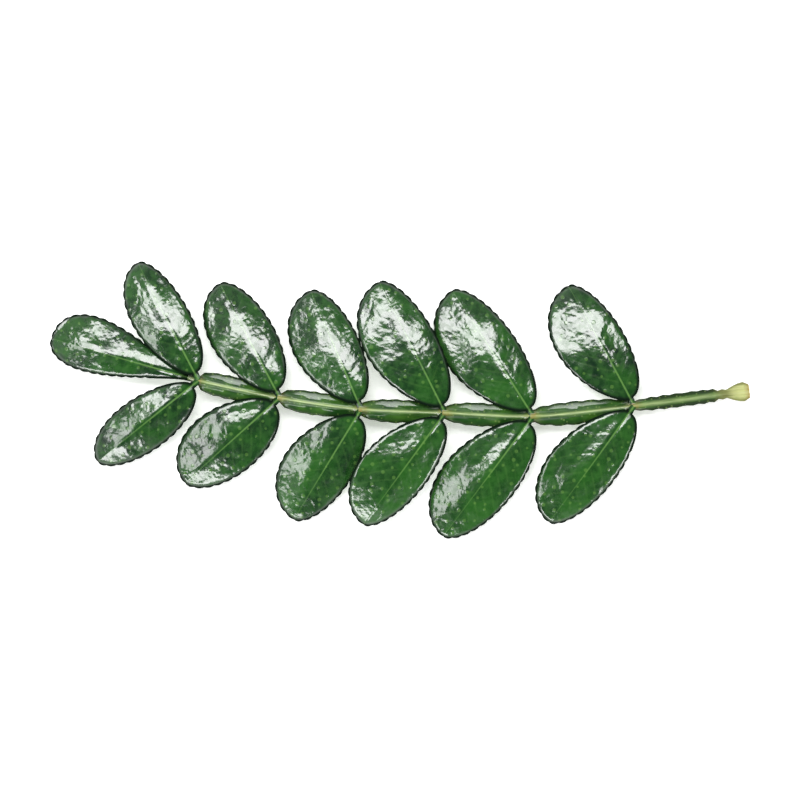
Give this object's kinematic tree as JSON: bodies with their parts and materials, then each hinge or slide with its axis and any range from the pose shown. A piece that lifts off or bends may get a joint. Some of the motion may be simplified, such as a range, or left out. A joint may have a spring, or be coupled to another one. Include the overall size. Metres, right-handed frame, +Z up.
{
  "type": "pistacia sprig",
  "caption": "Cut sprig lying flat: a winged rachis with paired, glossy, blunt-toothed leaflets and one end leaflet, resting on its leaflet tips and cut end.",
  "frame": {"origin": "bottom centre of the bounding box, on the surface that the sprig lies on", "axes": "+Z up from the surface through the glossy upper side, +X along the sprig towards its cut end, +Y across it"},
  "size_m": [0.0738, 0.0292, 0.0041],
  "materials": {
    "leaf_blade": "gloss",
    "rachis_green": "satin"
  },
  "bodies": {
    "root": {"winged_rachis": "rachis_green", "terminal_leaflet": "leaf_blade", "leaflet_upper_1": "leaf_blade", "leaflet_upper_2": "leaf_blade", "leaflet_upper_3": "leaf_blade", "leaflet_upper_4": "leaf_blade", "leaflet_upper_5": "leaf_blade", "leaflet_upper_6": "leaf_blade", "leaflet_lower_1": "leaf_blade", "leaflet_lower_2": "leaf_blade", "leaflet_lower_3": "leaf_blade", "leaflet_lower_4": "leaf_blade", "leaflet_lower_5": "leaf_blade", "leaflet_lower_6": "leaf_blade"}
  },
  "joints": []
}
